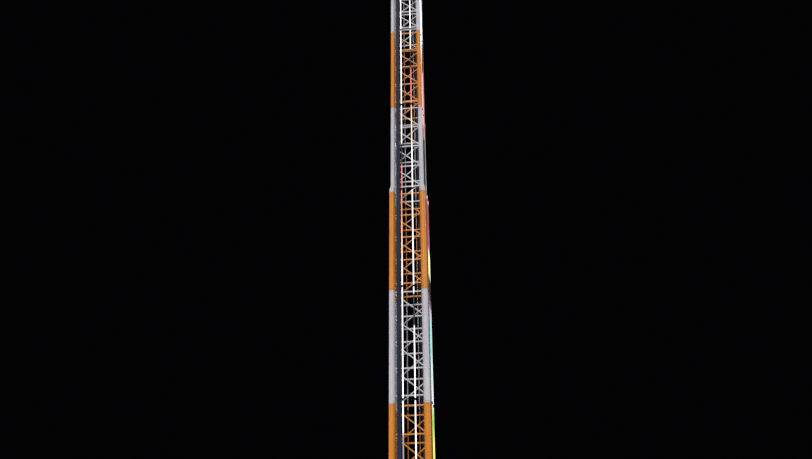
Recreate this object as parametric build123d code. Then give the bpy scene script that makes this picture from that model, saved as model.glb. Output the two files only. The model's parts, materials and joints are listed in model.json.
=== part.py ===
from build123d import *
import os
from math import atan2, degrees, hypot, sqrt

# Mast of a drop tower ride, as a 1:2 scale model: every size is the model's own, in millimetres.
# The front faces -Y, +Z is up, and the origin is on the ground under the middle of the mast.

# Sections, counted from the top of the pedestal up
SECTION_COUNT = 6
LOWER_COUNT = 3
SECTION_LENGTH = 3684
PEDESTAL_LENGTH = 3684

# Posts: round tubes with the same clear width between them, joined a little below the lattice's joints
CLEAR_WIDTH = 837
LOWER_POST_D = 200
UPPER_POST_D = 157
POST_DROP = 100
COLLAR_LENGTH = 155
REDUCER_LENGTH = 170
REDUCER_FOLDS = 24

# Lattice on each side: crossbars, and one diagonal a bay from upper left to lower right
BAYS = 4
PEDESTAL_BAYS = 4
END_MARGIN = 151
CROSSBAR = 40
DIAGONAL = 32
WELD_GAP = 0.3

# Guide rail: a T section beside the left post of the front side and of the rear side
RAIL_SIDES = ["front", "rear"]
RAIL_WIDTH = 124
RAIL_PLATE = 18
RAIL_WEB = 30
RAIL_POST_GAP = 62
RAIL_PROUD = 38
RAIL_JOINT_GAP = 6
RAIL_FLOOR_GAP = 60

# Light lines: two on each side, on fins that stand on the crossbars
LIGHT_WIDTH = 36
LIGHT_DEPTH = 28
LIGHT_CHAMFER = 8
LIGHT_RAIL_GAP = 32
LIGHT_JOINT_GAP = 58
LOWER_FIN_DEPTH = 80
UPPER_FIN_DEPTH = 10
FIN_THICKNESS = 16

# Base: a cross of two beams with a bolted foot plate past the end of each arm
BEAM_WIDTH = 300
BEAM_HEIGHT = 220
ARM_OVERHANG = 765
FOOT_LENGTH = 320
FOOT_THICKNESS = 40
ANCHOR_R = 18
ANCHOR_INSET = 90

# Square flange and gussets where the pedestal's posts stand on the base
FLANGE_RIM = 45
FLANGE_THICKNESS = 25
GUSSET_HEIGHT = 190
GUSSET_LENGTH = 150
GUSSET_THICKNESS = 20

# Head: a ring of beams on the post tops with a crossed tie in it
HEAD_HEIGHT = 120
HEAD_TIE_WIDTH = 90
HEAD_TIE_HEIGHT = 70

# Worked out from the sizes above
SIDES = ["front", "right", "rear", "left"]
QUARTER_TURN = 90
CORNER_TURN = QUARTER_TURN / 2
LOWER_AXIS = (CLEAR_WIDTH + LOWER_POST_D) / 2
UPPER_AXIS = (CLEAR_WIDTH + UPPER_POST_D) / 2
RAIL_X = -(CLEAR_WIDTH / 2 - RAIL_POST_GAP - RAIL_WIDTH / 2)
RAIL_FACE = LOWER_AXIS + LOWER_POST_D / 2 + RAIL_PROUD
LIGHT_X = -RAIL_X - RAIL_WIDTH / 2 - LIGHT_RAIL_GAP - LIGHT_WIDTH / 2
PEDESTAL_TOP = BEAM_HEIGHT + PEDESTAL_LENGTH
MAST_TOP = PEDESTAL_TOP + SECTION_COUNT * SECTION_LENGTH
ARM_LENGTH = LOWER_AXIS * sqrt(2) + ARM_OVERHANG


def turned(shape, quarter):
    """The shape of the front side, turned to another side."""
    return Rot(0, 0, QUARTER_TURN * quarter) * shape


def all_round(shape):
    """One copy of the shape on each side or corner."""
    return [turned(shape, quarter) for quarter in range(len(SIDES))]


def is_lower(section):
    return section < LOWER_COUNT


def post_diameter(section):
    return LOWER_POST_D if is_lower(section) else UPPER_POST_D


def post_axis(section):
    return LOWER_AXIS if is_lower(section) else UPPER_AXIS


def section_bottom(section):
    return PEDESTAL_TOP + section * SECTION_LENGTH


def post_joint(section):
    """Height where the posts of a section start, or where the last ones end."""
    return MAST_TOP if section == SECTION_COUNT else section_bottom(section) - POST_DROP


def straight_post(axis, diameter, bottom, top):
    circle = Pos(axis, axis, bottom) * Circle(diameter / 2)
    return extrude(circle, top - bottom)


def section_post(section):
    """A post of one section. The first thin one has a wide collar and a folded reducer, flush inside."""
    bottom = post_joint(section)
    top = post_joint(section + 1)
    axis = post_axis(section)
    diameter = post_diameter(section)
    if section != LOWER_COUNT:
        return straight_post(axis, diameter, bottom, top)
    collar_top = bottom + COLLAR_LENGTH
    reducer_top = collar_top + REDUCER_LENGTH
    collar = straight_post(LOWER_AXIS, LOWER_POST_D, bottom, collar_top)
    wide_end = Pos(LOWER_AXIS, LOWER_AXIS, collar_top) * RegularPolygon(LOWER_POST_D / 2, REDUCER_FOLDS)
    narrow_end = Pos(axis, axis, reducer_top) * RegularPolygon(diameter / 2, REDUCER_FOLDS)
    reducer = loft([wide_end, narrow_end], ruled=True)
    return collar.fuse(reducer, straight_post(axis, diameter, reducer_top, top))


def bar_heights(bottom, length, bays):
    bay = (length - 2 * END_MARGIN) / bays
    return [bottom + END_MARGIN + i * bay for i in range(bays + 1)]


def crossbars(axis, heights):
    """Level bars between two posts of the front side."""
    length = CLEAR_WIDTH - 2 * WELD_GAP
    return [Pos(0, -axis, z) * Box(length, CROSSBAR, CROSSBAR) for z in heights]


def diagonals(axis, heights):
    """One bar a bay, aimed at the points where the crossbars' lines meet the post axes."""
    bars = []
    for low, high in zip(heights, heights[1:]):
        middle = Pos(0, -axis, (low + high) / 2)
        rise = high - low
        slope = degrees(atan2(rise, 2 * axis))
        bar = middle * Rot(0, slope, 0) * Box(hypot(rise, 2 * axis), DIAGONAL, DIAGONAL)
        between_posts = middle * Box(CLEAR_WIDTH - 2 * WELD_GAP, DIAGONAL, rise)
        bars.append(bar & between_posts)
    return bars


def fin_depth(section):
    return LOWER_FIN_DEPTH if is_lower(section) else UPPER_FIN_DEPTH


def light_front(section):
    """Distance from the middle of the mast to the front of its light lines."""
    return post_axis(section) + CROSSBAR / 2 + fin_depth(section) + LIGHT_DEPTH


def light_fins(section):
    """Upright fins that carry the light lines on the crossbars."""
    depth = fin_depth(section)
    middle_y = -(post_axis(section) + CROSSBAR / 2 + depth / 2)
    middle_z = section_bottom(section) + SECTION_LENGTH / 2
    fin = Box(FIN_THICKNESS, depth, SECTION_LENGTH - LIGHT_JOINT_GAP)
    return [Pos(x, middle_y, middle_z) * fin for x in (-LIGHT_X, LIGHT_X)]


def lattice_side(section):
    """Front side of one section: a ladder of crossbars and fins, and its diagonals."""
    axis = post_axis(section)
    heights = bar_heights(section_bottom(section), SECTION_LENGTH, BAYS)
    bars = crossbars(axis, heights)
    ladder = bars[0].fuse(*bars[1:], *light_fins(section))
    return [ladder] + diagonals(axis, heights)


def light_lines(section):
    """Two tubes of light on the front side of one section, with their front edges cut back."""
    front = light_front(section)
    lines = []
    for x in (-LIGHT_X, LIGHT_X):
        outline = Pos(x, LIGHT_DEPTH / 2 - front) * Rectangle(LIGHT_WIDTH, LIGHT_DEPTH)
        front_corners = outline.vertices().group_by(Axis.Y)[0]
        outline = chamfer(front_corners, LIGHT_CHAMFER)
        bottom = section_bottom(section) + LIGHT_JOINT_GAP / 2
        lines.append(extrude(Pos(0, 0, bottom) * outline, SECTION_LENGTH - LIGHT_JOINT_GAP))
    return lines


def guide_rail(axis, bottom, top):
    """One length of the front rail. Its web runs back to the crossbars that carry it."""
    back = RAIL_FACE - RAIL_PLATE
    foot = axis + CROSSBAR / 2
    plate = Pos(RAIL_X, RAIL_PLATE / 2 - RAIL_FACE) * Rectangle(RAIL_WIDTH, RAIL_PLATE)
    web = Pos(RAIL_X, -(back + foot) / 2) * Rectangle(RAIL_WEB, back - foot)
    start = bottom + RAIL_JOINT_GAP / 2
    return extrude(Pos(0, 0, start) * (plate + web), top - bottom - RAIL_JOINT_GAP)


def pedestal_post():
    """Post of the pedestal, with a square flange and two gussets along its beam."""
    post = straight_post(LOWER_AXIS, LOWER_POST_D, BEAM_HEIGHT, post_joint(0))
    flange_width = LOWER_POST_D + 2 * FLANGE_RIM
    flange = extrude(Rectangle(flange_width, flange_width), FLANGE_THICKNESS)
    web = Polygon((0, 0), (GUSSET_LENGTH + LOWER_POST_D / 2, 0), (LOWER_POST_D / 2, GUSSET_HEIGHT),
                  (0, GUSSET_HEIGHT), align=None)
    gusset = extrude(Plane.XZ * web, GUSSET_THICKNESS / 2, both=True)
    seat = Pos(LOWER_AXIS, LOWER_AXIS, BEAM_HEIGHT)
    outward = Rot(0, 0, CORNER_TURN)
    inward = Rot(0, 0, CORNER_TURN + 2 * QUARTER_TURN)
    return post.fuse(seat * outward * flange, seat * outward * gusset, seat * inward * gusset)


def base_cross():
    """Two crossed beams along the diagonals, with a drilled foot plate past each end."""
    beam = Pos(0, 0, BEAM_HEIGHT / 2) * Box(2 * ARM_LENGTH, BEAM_WIDTH, BEAM_HEIGHT)
    foot_reach = ARM_LENGTH + FOOT_LENGTH
    foot = Pos(0, 0, FOOT_THICKNESS / 2) * Box(2 * foot_reach, BEAM_WIDTH, FOOT_THICKNESS)
    arm_pair = beam + foot
    cross = arm_pair + turned(arm_pair, 1)
    anchor_r = foot_reach - ANCHOR_INSET
    hole = Pos(anchor_r, 0, FOOT_THICKNESS / 2) * Cylinder(ANCHOR_R, 2 * FOOT_THICKNESS)
    return Rot(0, 0, CORNER_TURN) * (cross - all_round(hole))


def head_frame():
    """Ring of beams over the posts, with a crossed tie between its corners."""
    outer = 2 * UPPER_AXIS + UPPER_POST_D
    opening = Rectangle(CLEAR_WIDTH, CLEAR_WIDTH)
    ring = Rectangle(outer, outer) - opening
    tie = Rot(0, 0, CORNER_TURN) * Rectangle(sqrt(2) * outer, HEAD_TIE_WIDTH)
    ties = (tie + turned(tie, 1)) & opening
    seat = Pos(0, 0, MAST_TOP)
    return extrude(seat * ring, HEAD_HEIGHT) + extrude(seat * ties, HEAD_TIE_HEIGHT)


def build():
    """Every node's name with the solids in it."""
    sections = range(SECTION_COUNT)
    nodes = {"base_cross": [base_cross()], "pedestal_posts": all_round(pedestal_post())}

    heights = bar_heights(BEAM_HEIGHT, PEDESTAL_LENGTH, PEDESTAL_BAYS)
    pedestal_side = crossbars(LOWER_AXIS, heights) + diagonals(LOWER_AXIS, heights)
    nodes["pedestal_lattice"] = [turned(bar, q) for q in range(len(SIDES)) for bar in pedestal_side]

    for section in sections:
        nodes[f"section_{section + 1}_posts"] = all_round(section_post(section))

    sides = [lattice_side(section) for section in sections]
    lights = [light_lines(section) for section in sections]
    rails = [guide_rail(LOWER_AXIS, BEAM_HEIGHT + RAIL_FLOOR_GAP, PEDESTAL_TOP)]
    for section in sections:
        bottom = section_bottom(section)
        rails.append(guide_rail(post_axis(section), bottom, bottom + SECTION_LENGTH))

    for quarter, name in enumerate(SIDES):
        for first, colour in enumerate(("orange", "white")):
            bars = [bar for side in sides[first::2] for bar in side]
            nodes[f"lattice_{name}_{colour}"] = [turned(bar, quarter) for bar in bars]
        if name in RAIL_SIDES:
            nodes[f"guide_rail_{name}"] = [turned(rail, quarter) for rail in rails]
        nodes[f"light_lines_{name}"] = [turned(line, quarter) for pair in lights for line in pair]

    nodes["head_frame"] = [head_frame()]
    return nodes


os.makedirs("parts", exist_ok=True)
for node, shapes in build().items():
    solids = [solid for shape in shapes for solid in shape.solids()]
    export_step(Compound(solids), f"parts/{node}.step")
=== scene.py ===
import json
import math
from collections import namedtuple

import bmesh
import bpy
import numpy as np
from mathutils import Matrix, Vector


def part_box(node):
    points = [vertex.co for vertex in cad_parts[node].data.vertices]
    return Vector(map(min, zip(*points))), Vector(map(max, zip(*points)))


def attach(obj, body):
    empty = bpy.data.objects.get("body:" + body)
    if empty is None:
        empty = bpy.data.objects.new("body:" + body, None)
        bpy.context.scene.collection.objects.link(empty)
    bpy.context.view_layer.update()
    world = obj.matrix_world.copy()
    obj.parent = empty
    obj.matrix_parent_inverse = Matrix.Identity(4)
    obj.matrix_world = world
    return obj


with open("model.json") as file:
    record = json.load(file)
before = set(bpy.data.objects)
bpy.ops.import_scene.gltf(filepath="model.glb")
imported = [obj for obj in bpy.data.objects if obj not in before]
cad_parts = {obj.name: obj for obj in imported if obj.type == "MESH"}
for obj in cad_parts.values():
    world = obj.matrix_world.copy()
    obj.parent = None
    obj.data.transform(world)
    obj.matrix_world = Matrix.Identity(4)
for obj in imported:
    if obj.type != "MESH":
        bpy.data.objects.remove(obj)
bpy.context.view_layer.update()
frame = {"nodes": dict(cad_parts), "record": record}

# Layout: sides are counted in quarter turns from the front, and sections from the pedestal up
SIDES = ("front", "right", "rear", "left")
RAIL_TURNS = (0, 2)
SECTION_COUNT = 6
LOWER_COUNT = 3
BAYS = 4
PEDESTAL_BAYS = 4

# Sizes in metres that the frame's boxes don't give
END_MARGIN = 0.151
CROSSBAR = 0.040
DIAGONAL = 0.032
WELD_GAP = 0.0003
COLLAR_LENGTH = 0.155
REDUCER_LENGTH = 0.170
RAIL_PLATE = 0.018
RAIL_WEB = 0.030
LIGHT_WIDTH = 0.036
LIGHT_DEPTH = 0.028
LIGHT_CHAMFER = 0.008
LIGHT_END_GAP = 0.029
UPPER_FIN_DEPTH = 0.010
BEAM_WIDTH = 0.300
FOOT_LENGTH = 0.320
FOOT_THICKNESS = 0.040
ANCHOR_INSET = 0.090
FLANGE_THICKNESS = 0.025
FLANGE_WIDTH = 0.290
GUSSET_HEIGHT = 0.190
GUSSET_LENGTH = 0.150
GUSSET_THICKNESS = 0.020
HEAD_HEIGHT = 0.120

# Camera, from the photograph's frame of 812 by 459 pixels
IMAGE_WIDTH = 812
FOCAL_PIXELS = 769.2
SENSOR = 36.0
EYE_DISTANCE = 22.818
EYE_HEIGHT = 0.8
EYE_TURN = math.radians(6.3781)
EYE_YAW = math.radians(-0.2976)
EYE_PITCH = math.radians(29.4654)
EYE_ROLL = math.radians(-0.5519)
CAMERA_REACH = 500.0

# Colours of the steel and of the stage
ORANGE = (0.61, 0.205, 0.012)
ORANGE_FADED = (0.66, 0.240, 0.024)
WHITE = (0.50, 0.475, 0.515)
WHITE_FADED = (0.57, 0.545, 0.575)
SLATE = (0.010, 0.015, 0.036)
SLATE_FADED = (0.018, 0.024, 0.050)
BASE_GREY = (0.13, 0.14, 0.16)
BASE_GREY_FADED = (0.19, 0.20, 0.22)
GRIME = (0.10, 0.085, 0.070)
RUST = (0.20, 0.075, 0.030)
GREASE = (0.020, 0.019, 0.018)
BARE_STEEL = (0.46, 0.46, 0.47)
ZINC = (0.50, 0.51, 0.53)
ZINC_DULL = (0.38, 0.38, 0.39)
CAP_BLACK = (0.022, 0.022, 0.025)
CAP_DUST = (0.16, 0.15, 0.14)
TUBE_SMOKE = (0.040, 0.040, 0.042)
TUBE_DUST = (0.075, 0.070, 0.065)
FLOOR = (0.66, 0.65, 0.635)
FLOOR_DARKER = tuple(0.96 * channel for channel in FLOOR)
BACKDROP = (0.0010, 0.0010, 0.0014)

# Colours of the light tubes, as shares of the full light
LIGHT_STRENGTH = 3.0
LIGHT_COLOURS = {
    "off": (0.0, 0.0, 0.0),
    "white": (0.58, 0.55, 0.58),
    "lavender": (0.14, 0.13, 0.16),
    "cream": (0.44, 0.315, 0.225),
    "apricot": (0.42, 0.22, 0.145),
    "peach": (0.31, 0.125, 0.080),
    "salmon": (0.36, 0.12, 0.080),
    "coral": (0.35, 0.090, 0.090),
    "rose": (0.33, 0.095, 0.105),
    "blush": (0.35, 0.15, 0.18),
    "orchid": (0.70, 0.37, 0.55),
    "raspberry": (0.29, 0.065, 0.090),
    "crimson": (0.24, 0.030, 0.042),
    "straw": (0.68, 0.61, 0.29),
    "yellow": (0.56, 0.54, 0.11),
    "lime": (0.24, 0.45, 0.055),
    "mint": (0.38, 0.47, 0.25),
    "aqua": (0.23, 0.50, 0.475),
    "ice": (0.40, 0.54, 0.55),
    "lilac": (0.36, 0.38, 0.46),
    "plum": (0.105, 0.045, 0.10),
}

# What each line of light shows: colours at heights counted in sections, blended from one to the next
FRONT_LEFT_LINE = ((0.72, "lavender"), (0.74, "white"), (2.17, "white"), (2.33, "cream"), (2.42, "cream"),
                   (2.52, "apricot"), (2.60, "apricot"), (2.70, "peach"), (2.95, "peach"), (3.05, "rose"),
                   (3.27, "rose"), (3.29, "off"), (3.52, "off"), (3.54, "white"))
FRONT_RIGHT_LINE = ((1.61, "white"), (1.635, "off"), (1.92, "off"), (1.94, "white"), (3.45, "white"),
                    (3.58, "cream"), (3.85, "cream"), (3.93, "apricot"), (4.03, "salmon"), (4.12, "coral"),
                    (4.45, "coral"), (4.47, "off"), (4.71, "off"), (4.73, "white"))
SIDE_LOWER_LINE = ((0.70, "yellow"), (0.83, "lime"), (0.88, "lime"), (0.96, "mint"), (1.00, "white"),
                   (1.13, "white"), (1.19, "ice"), (1.32, "ice"), (1.47, "aqua"), (1.70, "aqua"),
                   (1.76, "lilac"), (1.81, "lilac"), (1.88, "plum"), (1.97, "off"), (2.12, "off"),
                   (2.17, "straw"), (2.38, "straw"), (2.44, "raspberry"), (2.60, "raspberry"),
                   (2.68, "crimson"), (2.93, "crimson"), (2.95, "orchid"), (3.00, "orchid"), (3.005, "off"))
SIDE_LEFT_LINE = SIDE_LOWER_LINE + ((3.79, "off"), (3.81, "blush"), (4.40, "blush"), (4.48, "rose"),
                                    (4.70, "cream"), (4.76, "white"))
SIDE_RIGHT_LINE = SIDE_LOWER_LINE + ((3.69, "off"), (3.71, "rose"), (3.85, "rose"), (3.90, "blush"),
                                     (4.55, "blush"), (4.58, "off"), (4.96, "off"), (4.98, "white"))

# Places worked out from the frame
Post = namedtuple("Post", "axis radius")
CLEAR_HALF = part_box("lattice_front_orange")[1].x + WELD_GAP


def post_from(node):
    """Axis distance and radius of the posts, from the node's outer corner."""
    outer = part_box(node)[1].x
    return Post((outer + CLEAR_HALF) / 2, (outer - CLEAR_HALF) / 2)


LOWER_POST = post_from("section_1_posts")
UPPER_POST = post_from("section_5_posts")
LIGHT_LOW, LIGHT_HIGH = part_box("light_lines_front")
BEAM_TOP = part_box("base_cross")[1].z
PEDESTAL_TOP = LIGHT_LOW.z - LIGHT_END_GAP
MAST_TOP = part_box("head_frame")[0].z
SECTION_LENGTH = (MAST_TOP - PEDESTAL_TOP) / SECTION_COUNT
POST_DROP = PEDESTAL_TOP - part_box("section_1_posts")[0].z
RAIL_LOW, RAIL_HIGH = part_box("guide_rail_front")
RAIL_X = (RAIL_LOW.x + RAIL_HIGH.x) / 2
RAIL_BACK = -RAIL_LOW.y - RAIL_PLATE
LIGHT_X = LIGHT_HIGH.x - LIGHT_WIDTH / 2
FOOT_REACH = math.hypot(*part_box("base_cross")[1].xy) - BEAM_WIDTH / 2
ANCHOR_R = FOOT_REACH - ANCHOR_INSET


def section_post(section):
    return LOWER_POST if section < LOWER_COUNT else UPPER_POST


def section_bottom(section):
    return PEDESTAL_TOP + section * SECTION_LENGTH


def post_joint(section):
    """Height where the posts of a section start."""
    return section_bottom(section) - POST_DROP


def is_orange(section):
    return section % 2 == 0


def bar_heights(bottom, length, bays):
    """Heights of the crossbars in one length of the mast."""
    bay = (length - 2 * END_MARGIN) / bays
    return [bottom + END_MARGIN + i * bay for i in range(bays + 1)]


def section_heights(section):
    return bar_heights(section_bottom(section), SECTION_LENGTH, BAYS)


def pedestal_heights():
    return bar_heights(BEAM_TOP, PEDESTAL_TOP - BEAM_TOP, PEDESTAL_BAYS)


# Meshes: a solid is a pair, its points and its faces
SMOOTH_LIMIT = math.radians(35)


def stack(rings, closed=False):
    """Solid through rings of as many points each, capped at both ends unless it closes on itself."""
    count = len(rings[0])
    points = np.concatenate([np.asarray(row, float) for row in rings])
    faces = []
    for i in range(len(rings) if closed else len(rings) - 1):
        low, high = i * count, (i + 1) % len(rings) * count
        for j in range(count):
            k = (j + 1) % count
            faces.append((low + j, low + k, high + k, high + j))
    if not closed:
        faces.append(tuple(reversed(range(count))))
        faces.append(tuple(range(len(points) - count, len(points))))
    return points, faces


def placed(solid, matrix):
    """The solid, moved and turned by a matrix."""
    points, faces = solid
    m = np.array(matrix)
    return points @ m[:3, :3].T + m[:3, 3], faces


def joined(solids):
    """One pair of points and faces for many solids."""
    points, faces, start = [], [], 0
    for p, f in solids:
        points.append(p)
        faces.extend(tuple(start + i for i in face) for face in f)
        start += len(p)
    return np.concatenate(points), faces


def all_round(solids, quarters=range(len(SIDES))):
    """The front's solids, repeated on the sides that lie these quarter turns round."""
    turns = [Matrix.Rotation(math.pi / 2 * q, 4, "Z") for q in quarters]
    return [placed(solid, turn) for turn in turns for solid in solids]


def face_outward(mesh):
    """Turns the faces of closed solids to look out of them."""
    shape = bmesh.new()
    shape.from_mesh(mesh)
    bmesh.ops.recalc_face_normals(shape, faces=shape.faces)
    shape.to_mesh(mesh)
    shape.free()


def piece(name, solids, material):
    """One mesh object that rides on the mast."""
    points, faces = joined(solids)
    mesh = bpy.data.meshes.new(name)
    mesh.from_pydata(points.tolist(), [], faces)
    face_outward(mesh)
    mesh.polygons.foreach_set("use_smooth", [True] * len(mesh.polygons))
    mesh.set_sharp_from_angle(angle=SMOOTH_LIMIT)
    mesh.materials.append(material)
    made = bpy.data.objects.new(name, mesh)
    bpy.context.scene.collection.objects.link(made)
    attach(made, "root")


def ring(radius, z, count):
    """Points of a regular polygon about Z."""
    angles = [2 * math.pi * i / count for i in range(count)]
    return [(radius * math.cos(a), radius * math.sin(a), z) for a in angles]


def seat_on(place, direction):
    """Frame at a place, with Z along a level direction and Y upright."""
    z = Vector(direction).normalized()
    x = Vector((0, 0, 1)).cross(z).normalized()
    turn = Matrix((x, z.cross(x), z)).transposed().to_4x4()
    return Matrix.Translation(place) @ turn


# Bolts: outlines of (radius, height) points, as shares of the bolt's radius
WASHER = ((1.7, -0.1), (1.7, 0.22), (1.62, 0.30))
WASHER_SIDES = 16
HEXAGON_HEAD = ((1.15, 0.25), (1.15, 0.85), (0.95, 1.02))
HEXAGON_SIDES = 6
THREAD_END = ((1.0, -1.0), (1.0, 2.1), (0.8, 2.3))
THREAD_SIDES = 20
NUT_SHARE = 1.3


def turned_solid(outline, radius, sides):
    """Solid of revolution about Z from an outline in shares of a radius."""
    return stack([ring(r * radius, z * radius, sides) for r, z in outline])


def bolt(radius):
    """Hexagon head with a chamfered top on a washer, which is let in a little below z = 0."""
    washer = turned_solid(WASHER, radius, WASHER_SIDES)
    head = turned_solid(HEXAGON_HEAD, radius, HEXAGON_SIDES)
    return joined([washer, head])


def anchor_nut(radius):
    """Nut and washer with the threaded end of the anchor standing out of it."""
    thread = turned_solid(THREAD_END, radius, THREAD_SIDES)
    return joined([bolt(NUT_SHARE * radius), thread])


# Welds: the crowns and the ripple are shares of the leg, and the ripple turns by an angle a step
WELD_LEG = 0.007
WELD_ROOT = 0.004
COLLAR_STEPS = 24
COLLAR_CROWN = (0.55, 0.5)
SEAM_ROOT = 0.002
SEAM_CROWN = 0.62
SEAM_STEP = 0.012
SEAM_STEPS_LEAST = 4
RIPPLE = 0.12
RIPPLE_TURN = 2.4


def weld_collar(half_y, half_z):
    """Bead round the end of a bar that meets a post at x = 0 and comes from +X."""
    rings = []
    for i in range(COLLAR_STEPS):
        angle = 2 * math.pi * i / COLLAR_STEPS
        c, s = math.cos(angle), math.sin(angle)
        reach = 1 / max(abs(c) / half_y, abs(s) / half_z)
        leg = WELD_LEG * (1 + RIPPLE * math.cos(i * math.pi))
        crown = tuple(share * leg for share in COLLAR_CROWN)
        section = ((0.0, leg), crown, (leg, 0.0), (leg, -WELD_ROOT), (0.0, -WELD_ROOT))
        rings.append([(x, c * (reach + u), s * (reach + u)) for u, x in section])
    return stack(rings, closed=True)


def weld_seam(start, end, side_a, side_b, leg=WELD_LEG):
    """Bead along the inner corner of two faces, whose outward directions are side_a and side_b."""
    start, end = Vector(start), Vector(end)
    a, b = Vector(side_a).normalized(), Vector(side_b).normalized()
    steps = max(SEAM_STEPS_LEAST, int((end - start).length / SEAM_STEP))
    rings = []
    for i in range(steps + 1):
        centre = start.lerp(end, i / steps)
        size = leg * (1 + RIPPLE * math.sin(RIPPLE_TURN * i))
        points = (centre - SEAM_ROOT * (a + b), centre + size * a - SEAM_ROOT * b,
                  centre + SEAM_CROWN * size * (a + b), centre + size * b - SEAM_ROOT * a)
        rings.append([tuple(point) for point in points])
    return stack(rings)


def bar_welds(post, heights):
    """Beads at both ends of a front side's crossbars and diagonals."""
    welds = []
    rise = heights[1] - heights[0]
    slope = math.atan2(rise, 2 * post.axis)
    drop = rise / 2 - CLEAR_HALF * math.tan(slope)
    crossbar = weld_collar(CROSSBAR / 2, CROSSBAR / 2)
    diagonal = weld_collar(DIAGONAL / 2, DIAGONAL / 2 / math.cos(slope))
    for end in (-1, 1):
        flip = Matrix.Scale(-end, 4, (1, 0, 0))
        for z in heights:
            welds.append(placed(crossbar, Matrix.Translation((end * CLEAR_HALF, -post.axis, z)) @ flip))
        for low in heights[:-1]:
            z = low + drop if end > 0 else low + rise - drop
            welds.append(placed(diagonal, Matrix.Translation((end * CLEAR_HALF, -post.axis, z)) @ flip))
    return welds


def rail_welds(post, heights):
    """Short beads where a front rail's web stands on the crossbars."""
    face = -post.axis - CROSSBAR / 2
    welds = []
    for z in heights:
        for side in (-1, 1):
            x = RAIL_X + side * RAIL_WEB / 2
            welds.append(weld_seam((x, face, z - CROSSBAR / 2), (x, face, z + CROSSBAR / 2),
                                   (side, 0, 0), (0, -1, 0)))
    return welds


# Rail joints
FISHPLATE_DEPTH = 0.050
FISHPLATE_LENGTH = 0.240
FISHPLATE_THICKNESS = 0.008
FISHPLATE_CHAMFER = 0.0015
FISHPLATE_CORNER = 0.006
FISHPLATE_CORNER_STEPS = 3
FISHPLATE_BOLT_R = 0.007
FISHPLATE_BOLT_Z = (-0.085, -0.035, 0.035, 0.085)


def fishplate_outline(inset, z):
    """Rounded rectangle in XY, drawn in by an inset."""
    half_x = FISHPLATE_DEPTH / 2 - FISHPLATE_CORNER
    half_y = FISHPLATE_LENGTH / 2 - FISHPLATE_CORNER
    radius = FISHPLATE_CORNER - inset
    points = []
    for i, (sx, sy) in enumerate(((1, 1), (-1, 1), (-1, -1), (1, -1))):
        for step in range(FISHPLATE_CORNER_STEPS + 1):
            angle = math.pi / 2 * (i + step / FISHPLATE_CORNER_STEPS)
            x = sx * half_x + radius * math.cos(angle)
            y = sy * half_y + radius * math.sin(angle)
            points.append((x, y, z))
    return points


def fishplate():
    """Plate in XY with rounded corners and a chamfered upper edge, its seat at z = 0."""
    shoulder = FISHPLATE_THICKNESS - FISHPLATE_CHAMFER
    return stack([fishplate_outline(0, 0), fishplate_outline(0, shoulder),
                  fishplate_outline(FISHPLATE_CHAMFER, FISHPLATE_THICKNESS)])


def fishplates(post, z):
    """Plates and bolts on both sides of a front rail's web at a joint."""
    middle = -(post.axis + CROSSBAR / 2 + RAIL_BACK) / 2
    plates, bolts = [], []
    for side in (-1, 1):
        seat = seat_on((RAIL_X + side * RAIL_WEB / 2, middle, z), (side, 0, 0))
        plates.append(placed(fishplate(), seat))
        for height in FISHPLATE_BOLT_Z:
            place = Matrix.Translation((0, height, FISHPLATE_THICKNESS))
            bolts.append(placed(bolt(FISHPLATE_BOLT_R), seat @ place))
    return plates, bolts


# Post joints
Band = namedtuple("Band", "half proud")
JOINT_SEAL = Band(half=0.003, proud=0.0012)
POST_BEAD = Band(half=0.006, proud=0.003)
BAND_ROOT = 0.004
BAND_STEPS = 48
JOINT_BOLT_R = 0.008
JOINT_BOLT_RISE = 0.048
JOINT_BOLTS = 8


def round_post(band, post, z):
    """Low band round the front left post at one height."""
    inside, outside = post.radius - BAND_ROOT, post.radius + band.proud
    section = ((inside, -band.half), (post.radius, -band.half), (outside, -band.half / 2),
               (outside, band.half / 2), (post.radius, band.half), (inside, band.half))
    rings = []
    for i in range(BAND_STEPS):
        angle = 2 * math.pi * i / BAND_STEPS
        c, s = math.cos(angle), math.sin(angle)
        rings.append([(r * c - post.axis, r * s - post.axis, z + h) for r, h in section])
    return stack(rings, closed=True)


def joint_bolts(post, z):
    """A row of bolts round the front left post at one height."""
    row = []
    for i in range(JOINT_BOLTS):
        angle = 2 * math.pi * (i + 0.5) / JOINT_BOLTS
        out = Vector((math.cos(angle), math.sin(angle), 0))
        foot = Vector((-post.axis, -post.axis, z)) + post.radius * out
        row.append(placed(bolt(JOINT_BOLT_R), seat_on(foot, out)))
    return row


# Light fittings
CAP_LENGTH = 0.016
CAP_SHOULDER = 0.7 * CAP_LENGTH
CAP_TAPER = 0.003
CAP_GRIP = 0.011
CAP_LONG_GRIP = 0.045
CAP_RIM = 0.0012
LOWER_LENS_RISE = 0.004
UPPER_LENS_RISE = 0.020
LENS_LAP = 0.002
LENS_RIM = 0.0005
LENS_STEPS = 10
CLIP_WIDTH = 0.016
CLIP_SHEET = 0.0015
CLIP_LIP = 0.004


def lens_outline(section, rim):
    """Dome over the front of a light tube, seen along it: (x, distance behind the front), with a rim."""
    half, base = LIGHT_WIDTH / 2 + rim, LIGHT_CHAMFER + LENS_LAP
    rise = (LOWER_LENS_RISE if section < LOWER_COUNT else UPPER_LENS_RISE) + rim
    angles = [math.pi * i / LENS_STEPS for i in range(LENS_STEPS + 1)]
    return [(half * math.cos(a), base - (base + rise) * math.sin(a)) for a in angles]


def tube_outline(section, rim):
    """Outline of a light tube and its lens, with a rim round it."""
    half, back = LIGHT_WIDTH / 2 + rim, LIGHT_DEPTH + rim
    return [(-half, back), (half, back)] + lens_outline(section, rim)


def light_front(section):
    """Distance from the middle of the mast to the front of a section's light tubes."""
    if section < LOWER_COUNT:
        return -LIGHT_LOW.y
    return UPPER_POST.axis + CROSSBAR / 2 + UPPER_FIN_DEPTH + LIGHT_DEPTH


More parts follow.
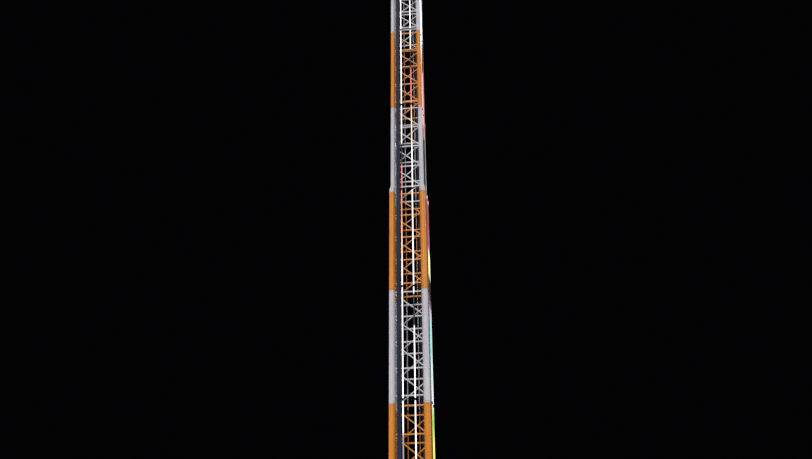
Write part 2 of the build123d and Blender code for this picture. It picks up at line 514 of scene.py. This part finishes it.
def end_cap(x, section, z, direction, grip):
    """Cap on the end of a light tube, tapered at its far end."""
    front = light_front(section)
    rings = []
    for rim, along in ((CAP_RIM, -grip), (CAP_RIM, CAP_SHOULDER), (-CAP_TAPER, CAP_LENGTH)):
        height = z + direction * along
        rings.append([(x + px, py - front, height) for px, py in tube_outline(section, rim)])
    return stack(rings)


def clip(x, front, z):
    """Clip round the back and the flanks of a light tube."""
    half, back = LIGHT_WIDTH / 2 + CLIP_SHEET, LIGHT_DEPTH + CLIP_SHEET
    lip = LIGHT_CHAMFER + CLIP_LIP
    outline = [(-half, back), (half, back), (half, lip), (-half, lip)]
    rings = []
    for height in (-CLIP_WIDTH / 2, CLIP_WIDTH / 2):
        rings.append([(x + px, py - front, z + height) for px, py in outline])
    return stack(rings)


def light_ends(section):
    """Heights of the lower and upper ends of a section's light tubes."""
    return section_bottom(section) + LIGHT_END_GAP, section_bottom(section + 1) - LIGHT_END_GAP


def light_lenses(section):
    """Domed covers of a front side's two light tubes in one section."""
    front = light_front(section)
    outline = lens_outline(section, LENS_RIM)
    lenses = []
    for x in (-LIGHT_X, LIGHT_X):
        rings = [[(x + px, py - front, z) for px, py in outline] for z in light_ends(section)]
        lenses.append(stack(rings))
    return lenses


def light_fittings(section):
    """Caps and clips of a front side's two light tubes in one section, with long caps at the step."""
    front = light_front(section)
    low, high = light_ends(section)
    low_grip = CAP_LONG_GRIP if section == LOWER_COUNT else CAP_GRIP
    high_grip = CAP_LONG_GRIP if section == LOWER_COUNT - 1 else CAP_GRIP
    caps, clips = [], []
    for x in (-LIGHT_X, LIGHT_X):
        caps += [end_cap(x, section, low, -1, low_grip), end_cap(x, section, high, 1, high_grip)]
        clips += [clip(x, front, z) for z in section_heights(section)]
    return caps, clips


# Base and head
ANCHOR_BOLT_R = 0.015
FLANGE_BOLT_R = 0.012
FLANGE_BOLT_INSET = 0.028
FLANGE_TOP = BEAM_TOP + FLANGE_THICKNESS
GUSSET_TOP = BEAM_TOP + GUSSET_HEIGHT
POST_REACH = LOWER_POST.axis * math.sqrt(2)
CORNER_TURN = -3 * math.pi / 4
BEAM_WELD_LEG = 0.010
HEAD_BOLT_R = 0.012
HEAD_BOLT_SPREAD = 0.045


def corner_frame(x, y, z=0.0):
    """Frame with its X along the diagonal to the front left corner, at a place in that frame."""
    return Matrix.Rotation(CORNER_TURN, 4, "Z") @ Matrix.Translation((x, y, z))


def base_bolts():
    """The anchor nut and the bolts of a pedestal flange at the front left corner."""
    bolts = [placed(anchor_nut(ANCHOR_BOLT_R), corner_frame(ANCHOR_R, 0, FOOT_THICKNESS))]
    reach = FLANGE_WIDTH / 2 - FLANGE_BOLT_INSET
    for sx in (-1, 1):
        for sy in (-1, 1):
            place = corner_frame(POST_REACH + sx * reach, sy * reach, FLANGE_TOP)
            bolts.append(placed(bolt(FLANGE_BOLT_R), place))
    return bolts


def base_welds():
    """Beads along a beam's end and beside a flange, at the front left corner."""
    beam_end = FOOT_REACH - FOOT_LENGTH
    half = BEAM_WIDTH / 2
    flange = FLANGE_WIDTH / 2
    seams = [weld_seam((beam_end, -half, FOOT_THICKNESS), (beam_end, half, FOOT_THICKNESS),
                       (1, 0, 0), (0, 0, 1), BEAM_WELD_LEG)]
    for side in (-1, 1):
        x = POST_REACH + side * flange
        seams.append(weld_seam((x, -flange, BEAM_TOP), (x, flange, BEAM_TOP), (side, 0, 0), (0, 0, 1)))
    return [placed(seam, corner_frame(0, 0)) for seam in seams]


def pedestal_welds():
    """Beads round a pedestal post on its flange, and along its gussets, at the front left corner."""
    seams = []
    for end in (-1, 1):
        root = POST_REACH + end * LOWER_POST.radius
        rim = POST_REACH + end * FLANGE_WIDTH / 2
        tip = root + end * GUSSET_LENGTH
        for side in (-1, 1):
            y = side * GUSSET_THICKNESS / 2
            out = (0, side, 0)
            seams.append(weld_seam((root, y, FLANGE_TOP), (rim, y, FLANGE_TOP), out, (0, 0, 1)))
            seams.append(weld_seam((rim, y, BEAM_TOP), (tip, y, BEAM_TOP), out, (0, 0, 1)))
            seams.append(weld_seam((root, y, FLANGE_TOP), (root, y, GUSSET_TOP), out, (end, 0, 0)))
    bead = round_post(POST_BEAD, LOWER_POST, FLANGE_TOP)
    return [bead] + [placed(seam, corner_frame(0, 0)) for seam in seams]


def head_bolts():
    """Bolts through the head frame into a post's top, at the front left corner."""
    top = MAST_TOP + HEAD_HEIGHT
    bolts = []
    for sx in (-1, 1):
        for sy in (-1, 1):
            x = sx * HEAD_BOLT_SPREAD - UPPER_POST.axis
            y = sy * HEAD_BOLT_SPREAD - UPPER_POST.axis
            bolts.append(placed(bolt(HEAD_BOLT_R), Matrix.Translation((x, y, top))))
    return bolts


# Materials
NOISE_DETAIL = 4.0
NOISE_ROUGHNESS = 0.55
BEVEL_SAMPLES = 4
PAINT_SMOOTHER = 0.08
PAINT_ROUGHER = 0.14
WORN_METALLIC = 0.8
FRONT_LIMIT = 0.02


class Nodes:
    """Short ways to add nodes to a material."""

    def __init__(self, name):
        self.material = bpy.data.materials.new(name)
        self.material.use_nodes = True
        self.tree = self.material.node_tree
        self.shader = self.tree.nodes["Principled BSDF"]
        self.place = self.add("ShaderNodeTexCoord").outputs["Object"]

    def add(self, kind, **settings):
        node = self.tree.nodes.new(kind)
        for key, value in settings.items():
            setattr(node, key, value)
        return node

    def link(self, source, socket):
        if isinstance(source, bpy.types.NodeSocket):
            self.tree.links.new(source, socket)
        else:
            socket.default_value = source

    def math(self, operation, a, b=0.0):
        node = self.add("ShaderNodeMath", operation=operation, use_clamp=operation == "MULTIPLY")
        self.link(a, node.inputs[0])
        self.link(b, node.inputs[1])
        return node.outputs[0]

    def noise(self, vector, scale, detail):
        node = self.add("ShaderNodeTexNoise")
        self.link(vector, node.inputs["Vector"])
        for key, value in (("Scale", scale), ("Detail", detail), ("Roughness", NOISE_ROUGHNESS)):
            node.inputs[key].default_value = value
        return node.outputs["Fac"]

    def grain(self, scale, detail=NOISE_DETAIL):
        """Noise that is as fine along the mast as across it."""
        return self.noise(self.place, scale, detail)

    def streaks(self, across, along, detail=NOISE_DETAIL):
        """Noise drawn out along the mast, by its scales across and along."""
        node = self.add("ShaderNodeMapping")
        node.inputs["Scale"].default_value = (across, across, along)
        self.link(self.place, node.inputs["Vector"])
        return self.noise(node.outputs[0], 1.0, detail)

    def ramp(self, value, low, high):
        """0 below low, 1 above high, smooth between."""
        node = self.add("ShaderNodeMapRange", interpolation_type="SMOOTHSTEP")
        self.link(value, node.inputs["Value"])
        node.inputs["From Min"].default_value = low
        node.inputs["From Max"].default_value = high
        return node.outputs["Result"]

    def mix(self, factor, a, b):
        node = self.add("ShaderNodeMix", data_type="RGBA")
        self.link(factor, node.inputs["Factor"])
        for source, socket in ((a, node.inputs["A"]), (b, node.inputs["B"])):
            self.link((*source, 1.0) if isinstance(source, tuple) else source, socket)
        return node.outputs["Result"]

    def tint(self, body, colour, mask, amount):
        """The body with a colour over it by an amount, where the mask is."""
        return self.mix(self.math("MULTIPLY", mask, amount), body, colour)

    def blend(self, factor, start, end):
        """A number that goes from start to end as the factor goes from 0 to 1."""
        node = self.add("ShaderNodeMix", data_type="FLOAT")
        self.link(factor, node.inputs["Factor"])
        self.link(start, node.inputs["A"])
        self.link(end, node.inputs["B"])
        return node.outputs["Result"]

    def dot(self, a, b):
        node = self.add("ShaderNodeVectorMath", operation="DOT_PRODUCT")
        self.link(a, node.inputs[0])
        self.link(b, node.inputs[1])
        return node.outputs["Value"]

    def edges(self, radius):
        """About 1 on an outer edge, 0 on a flat."""
        bevel = self.add("ShaderNodeBevel", samples=BEVEL_SAMPLES)
        bevel.inputs["Radius"].default_value = radius
        normal = self.add("ShaderNodeNewGeometry").outputs["Normal"]
        bend = self.math("SUBTRACT", 1.0, self.dot(bevel.outputs[0], normal))
        return self.ramp(bend, low=0.02, high=0.16)

    def bump(self, height, strength, distance):
        node = self.add("ShaderNodeBump")
        node.inputs["Strength"].default_value = strength
        node.inputs["Distance"].default_value = distance
        self.link(height, node.inputs["Height"])
        self.link(node.outputs[0], self.shader.inputs["Normal"])

    def finish(self, colour, roughness, metallic=0.0, specular=0.5):
        self.link(colour, self.shader.inputs["Base Color"])
        self.link(roughness, self.shader.inputs["Roughness"])
        self.link(metallic, self.shader.inputs["Metallic"])
        self.link(specular, self.shader.inputs["Specular IOR Level"])
        return self.material


def paint(name, colour, faded, roughness):
    """Weathered satin paint: sun-faded patches, rain streaks, grime, chipped edges and orange peel."""
    n = Nodes(name)
    body = n.mix(n.ramp(n.grain(scale=0.7), low=0.35, high=0.65), colour, faded)
    rain = n.ramp(n.streaks(across=26, along=0.8, detail=5.0), low=0.56, high=0.74)
    body = n.tint(body, GRIME, rain, amount=0.32)
    specks = n.ramp(n.grain(scale=60.0, detail=3.0), low=0.66, high=0.74)
    body = n.tint(body, GRIME, specks, amount=0.30)
    worn = n.ramp(n.grain(scale=45.0, detail=5.0), low=0.50, high=0.62)
    chips = n.math("MULTIPLY", n.edges(radius=0.004), worn)
    body = n.tint(body, RUST, chips, amount=0.8)
    rough = n.blend(n.grain(scale=9.0), start=roughness - PAINT_SMOOTHER, end=roughness + PAINT_ROUGHER)
    rough = n.blend(chips, start=rough, end=0.8)
    n.bump(n.grain(scale=420.0, detail=2.0), strength=0.06, distance=0.001)
    return n.finish(body, rough, specular=0.3)


def rail_finish():
    """Dark rail paint with streaks of grease, worn to bright steel along its edges."""
    n = Nodes("rail_finish")
    body = n.mix(n.ramp(n.grain(scale=1.1), low=0.35, high=0.65), SLATE, SLATE_FADED)
    grease = n.ramp(n.streaks(across=30, along=0.5), low=0.50, high=0.72)
    body = n.tint(body, GREASE, grease, amount=0.55)
    scuffs = n.ramp(n.streaks(across=90, along=1.2), low=0.58, high=0.70)
    wear = n.math("MULTIPLY", scuffs, n.edges(radius=0.006))
    body = n.tint(body, BARE_STEEL, wear, amount=0.9)
    rough = n.blend(n.grain(scale=12.0), start=0.50, end=0.72)
    n.bump(n.streaks(across=160, along=6, detail=3.0), strength=0.10, distance=0.001)
    return n.finish(body, rough, metallic=n.math("MULTIPLY", wear, WORN_METALLIC), specular=0.12)


def fastener_finish():
    """Zinc-plated steel with dull patches and rust in places."""
    n = Nodes("fastener_finish")
    rust = n.ramp(n.grain(scale=14.0, detail=5.0), low=0.60, high=0.72)
    body = n.mix(n.grain(scale=30.0), ZINC, ZINC_DULL)
    body = n.tint(body, RUST, rust, amount=0.7)
    rough = n.blend(n.grain(scale=55.0), start=0.30, end=0.50)
    rough = n.blend(rust, start=rough, end=0.85)
    n.bump(n.grain(scale=500.0, detail=2.0), strength=0.08, distance=0.001)
    return n.finish(body, rough, metallic=n.blend(rust, start=0.9, end=0.1))


def rubber_finish():
    """Black moulded caps, clips and seals, dusty in patches."""
    n = Nodes("rubber_finish")
    dust = n.ramp(n.grain(scale=20.0, detail=5.0), low=0.50, high=0.75)
    body = n.tint(CAP_BLACK, CAP_DUST, dust, amount=0.35)
    rough = n.blend(n.grain(scale=40.0), start=0.55, end=0.78)
    n.bump(n.grain(scale=600.0, detail=2.0), strength=0.10, distance=0.0008)
    return n.finish(body, rough)


def line_ramp(n, share, program):
    """Colour of one light line by its share of the way up the sections."""
    node = n.add("ShaderNodeValToRGB")
    elements = node.color_ramp.elements
    n.link(share, node.inputs["Fac"])
    while len(elements) < len(program):
        elements.new(1.0)
    for element, (height, colour) in zip(elements, program):
        element.position = height / SECTION_COUNT
        element.color = (*LIGHT_COLOURS[colour], 1.0)
    return node.outputs["Color"]


def light_finish(side, quarter, left_program, right_program):
    """Smoked tube that glows in its line's colours on its front, with dark flanks and back."""
    n = Nodes("light_finish_" + side)
    turn = Matrix.Rotation(math.pi / 2 * quarter, 3, "Z")
    split = n.add("ShaderNodeSeparateXYZ")
    n.link(n.place, split.inputs[0])
    rise = n.math("SUBTRACT", split.outputs["Z"], PEDESTAL_TOP)
    share = n.math("DIVIDE", rise, MAST_TOP - PEDESTAL_TOP)
    is_right = n.math("GREATER_THAN", n.dot(n.place, turn @ Vector((1, 0, 0))), 0.0)
    glow = n.mix(is_right, line_ramp(n, share, left_program), line_ramp(n, share, right_program))
    normal = n.add("ShaderNodeNewGeometry").outputs["Normal"]
    forward = n.dot(normal, turn @ Vector((0, -1, 0)))
    is_front = n.math("GREATER_THAN", forward, FRONT_LIMIT)
    n.link(n.mix(is_front, LIGHT_COLOURS["off"], glow), n.shader.inputs["Emission Color"])
    n.shader.inputs["Emission Strength"].default_value = LIGHT_STRENGTH
    dust = n.ramp(n.streaks(across=20, along=3), low=0.45, high=0.80)
    body = n.tint(TUBE_SMOKE, TUBE_DUST, dust, amount=0.4)
    rough = n.blend(n.grain(scale=25.0), start=0.40, end=0.60)
    n.bump(n.streaks(across=300, along=8, detail=2.0), strength=0.05, distance=0.001)
    return n.finish(body, rough, specular=0.25)


def dress_nodes(finishes, lights):
    """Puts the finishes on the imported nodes."""
    slots = {row["node"]: row["material_slot"] for row in frame["record"]["subparts"]}
    for name, node in frame["nodes"].items():
        if name.startswith("light_lines_"):
            material = lights[name.removeprefix("light_lines_")]
        else:
            material = finishes[slots[name]]
        node.data.materials.clear()
        node.data.materials.append(material)


def add_lattice_welds(finishes):
    """Beads of the lattice, in the colour of their section."""
    beads = {"orange_paint": [], "white_paint": bar_welds(LOWER_POST, pedestal_heights())}
    for section in range(SECTION_COUNT):
        slot = "orange_paint" if is_orange(section) else "white_paint"
        beads[slot] += bar_welds(section_post(section), section_heights(section))
    for slot, solids in beads.items():
        piece("lattice_welds_" + slot.split("_")[0], all_round(solids), finishes[slot])


def add_rail_details(finishes):
    """Welds of the rails to the crossbars, and their joint plates with bolts."""
    welds = rail_welds(LOWER_POST, pedestal_heights())
    plates, bolts = [], []
    for section in range(SECTION_COUNT):
        post = section_post(section)
        welds += rail_welds(post, section_heights(section))
        joint_plates, plate_bolts = fishplates(post, section_bottom(section))
        plates += joint_plates
        bolts += plate_bolts
    piece("rail_welds", all_round(welds, RAIL_TURNS), finishes["rail_steel"])
    piece("rail_joint_plates", all_round(plates, RAIL_TURNS), finishes["rail_steel"])
    piece("rail_joint_bolts", all_round(bolts, RAIL_TURNS), finishes["fastener"])


def add_post_joints(finishes):
    """Seals and bolts where two lengths of post meet, and the welds of the reducers."""
    seals, bolts = [], []
    for section in range(SECTION_COUNT):
        z = post_joint(section)
        post = LOWER_POST if section <= LOWER_COUNT else UPPER_POST
        seals.append(round_post(JOINT_SEAL, post, z))
        bolts += joint_bolts(post, z - JOINT_BOLT_RISE) + joint_bolts(post, z + JOINT_BOLT_RISE)
    collar_top = post_joint(LOWER_COUNT) + COLLAR_LENGTH
    reducer_welds = [round_post(POST_BEAD, LOWER_POST, collar_top),
                     round_post(POST_BEAD, UPPER_POST, collar_top + REDUCER_LENGTH)]
    piece("post_joint_seals", all_round(seals), finishes["rubber"])
    piece("post_joint_bolts", all_round(bolts), finishes["fastener"])
    piece("post_reducer_welds", all_round(reducer_welds), finishes["white_paint"])


def add_light_fittings(finishes, lights):
    """Caps, clips and lenses of the light tubes, the lenses as one piece a side."""
    caps, clips, lenses = [], [], []
    for section in range(SECTION_COUNT):
        section_caps, section_clips = light_fittings(section)
        caps += section_caps
        clips += section_clips
        lenses += light_lenses(section)
    piece("light_end_caps", all_round(caps), finishes["rubber"])
    piece("light_clips", all_round(clips), finishes["rubber"])
    for quarter, side in enumerate(SIDES):
        piece("light_lenses_" + side, all_round(lenses, [quarter]), lights[side])


def add_base_and_head(finishes):
    """Bolts and welds of the base, the pedestal and the head frame."""
    piece("base_bolts", all_round(base_bolts()), finishes["fastener"])
    piece("base_welds", all_round(base_welds()), finishes["base_steel"])
    piece("pedestal_welds", all_round(pedestal_welds()), finishes["white_paint"])
    piece("head_bolts", all_round(head_bolts()), finishes["fastener"])


# Stage
FLOOR_RADIUS = 7.0
FLOOR_SIDES = 128
FLOOR_ROUGHNESS = 0.8
WORLD_LIGHT = 0.28
Lamp = namedtuple("Lamp", "name strength azimuth elevation spread")
LAMPS = (Lamp("key", 2.3, 0, 35, 8), Lamp("left_fill", 1.1, -90, 25, 40),
         Lamp("right_fill", 1.0, 90, 25, 40), Lamp("back", 1.9, 180, 35, 20))


def add_floor():
    """Round pale floor under the base."""
    n = Nodes("floor_finish")
    tone = n.mix(n.grain(scale=0.6), FLOOR, FLOOR_DARKER)
    material = n.finish(tone, FLOOR_ROUGHNESS)
    mesh = bpy.data.meshes.new("floor")
    mesh.from_pydata(ring(FLOOR_RADIUS, 0.0, FLOOR_SIDES), [], [tuple(range(FLOOR_SIDES))])
    mesh.materials.append(material)
    floor = bpy.data.objects.new("floor", mesh)
    bpy.context.scene.collection.objects.link(floor)


def add_lamp(lamp):
    """Soft far light from an azimuth, counted from the front towards the right, and an elevation."""
    data = bpy.data.lights.new(lamp.name, "SUN")
    data.energy = lamp.strength
    data.angle = math.radians(lamp.spread)
    made = bpy.data.objects.new(lamp.name, data)
    a, e = math.radians(lamp.azimuth), math.radians(lamp.elevation)
    towards = Vector((math.sin(a) * math.cos(e), -math.cos(a) * math.cos(e), math.sin(e)))
    made.rotation_mode = "QUATERNION"
    made.rotation_quaternion = towards.to_track_quat("Z", "Y")
    bpy.context.scene.collection.objects.link(made)


def add_world():
    """Even light all round, with a dark backdrop behind the object and in its gloss."""
    world = bpy.data.worlds.new("studio")
    bpy.context.scene.world = world
    world.use_nodes = True
    tree = world.node_tree
    tree.nodes.clear()
    soft = tree.nodes.new("ShaderNodeBackground")
    soft.inputs["Color"].default_value = (1.0, 1.0, 1.0, 1.0)
    soft.inputs["Strength"].default_value = WORLD_LIGHT
    backdrop = tree.nodes.new("ShaderNodeBackground")
    backdrop.inputs["Color"].default_value = (*BACKDROP, 1.0)
    path = tree.nodes.new("ShaderNodeLightPath")
    seen = path.outputs["Is Camera Ray"]
    for kind in ("Is Glossy Ray", "Is Transmission Ray"):
        either = tree.nodes.new("ShaderNodeMath")
        either.operation = "MAXIMUM"
        tree.links.new(seen, either.inputs[0])
        tree.links.new(path.outputs[kind], either.inputs[1])
        seen = either.outputs[0]
    mix = tree.nodes.new("ShaderNodeMixShader")
    output = tree.nodes.new("ShaderNodeOutputWorld")
    tree.links.new(seen, mix.inputs[0])
    tree.links.new(soft.outputs[0], mix.inputs[1])
    tree.links.new(backdrop.outputs[0], mix.inputs[2])
    tree.links.new(mix.outputs[0], output.inputs["Surface"])


def add_camera():
    """Camera where the photograph was taken, near the ground and looking up."""
    data = bpy.data.cameras.new("camera")
    data.sensor_width = SENSOR
    data.lens = SENSOR * FOCAL_PIXELS / IMAGE_WIDTH
    data.clip_end = CAMERA_REACH
    place = Vector((EYE_DISTANCE * math.sin(EYE_TURN), -EYE_DISTANCE * math.cos(EYE_TURN), EYE_HEIGHT))
    heading = math.atan2(-place.x, -place.y) + EYE_YAW
    forward = Vector((math.sin(heading) * math.cos(EYE_PITCH), math.cos(heading) * math.cos(EYE_PITCH),
                      math.sin(EYE_PITCH)))
    level = Vector((math.cos(heading), -math.sin(heading), 0))
    upward = level.cross(forward)
    right = math.cos(EYE_ROLL) * level + math.sin(EYE_ROLL) * upward
    up = math.cos(EYE_ROLL) * upward - math.sin(EYE_ROLL) * level
    camera = bpy.data.objects.new("camera", data)
    camera.matrix_world = Matrix.Translation(place) @ Matrix((right, up, -forward)).transposed().to_4x4()
    bpy.context.scene.collection.objects.link(camera)
    bpy.context.scene.camera = camera


finishes = {
    "orange_paint": paint("orange_paint_finish", ORANGE, ORANGE_FADED, roughness=0.42),
    "white_paint": paint("white_paint_finish", WHITE, WHITE_FADED, roughness=0.42),
    "base_steel": paint("base_paint_finish", BASE_GREY, BASE_GREY_FADED, roughness=0.50),
    "rail_steel": rail_finish(),
    "fastener": fastener_finish(),
    "rubber": rubber_finish(),
}
programs = [(FRONT_LEFT_LINE, FRONT_RIGHT_LINE), (SIDE_LEFT_LINE, SIDE_RIGHT_LINE)] * 2
lights = {side: light_finish(side, quarter, *programs[quarter]) for quarter, side in enumerate(SIDES)}
dress_nodes(finishes, lights)
add_lattice_welds(finishes)
add_rail_details(finishes)
add_post_joints(finishes)
add_light_fittings(finishes, lights)
add_base_and_head(finishes)

bpy.context.scene.view_settings.view_transform = "Standard"
add_floor()
for lamp in LAMPS:
    add_lamp(lamp)
add_world()
add_camera()
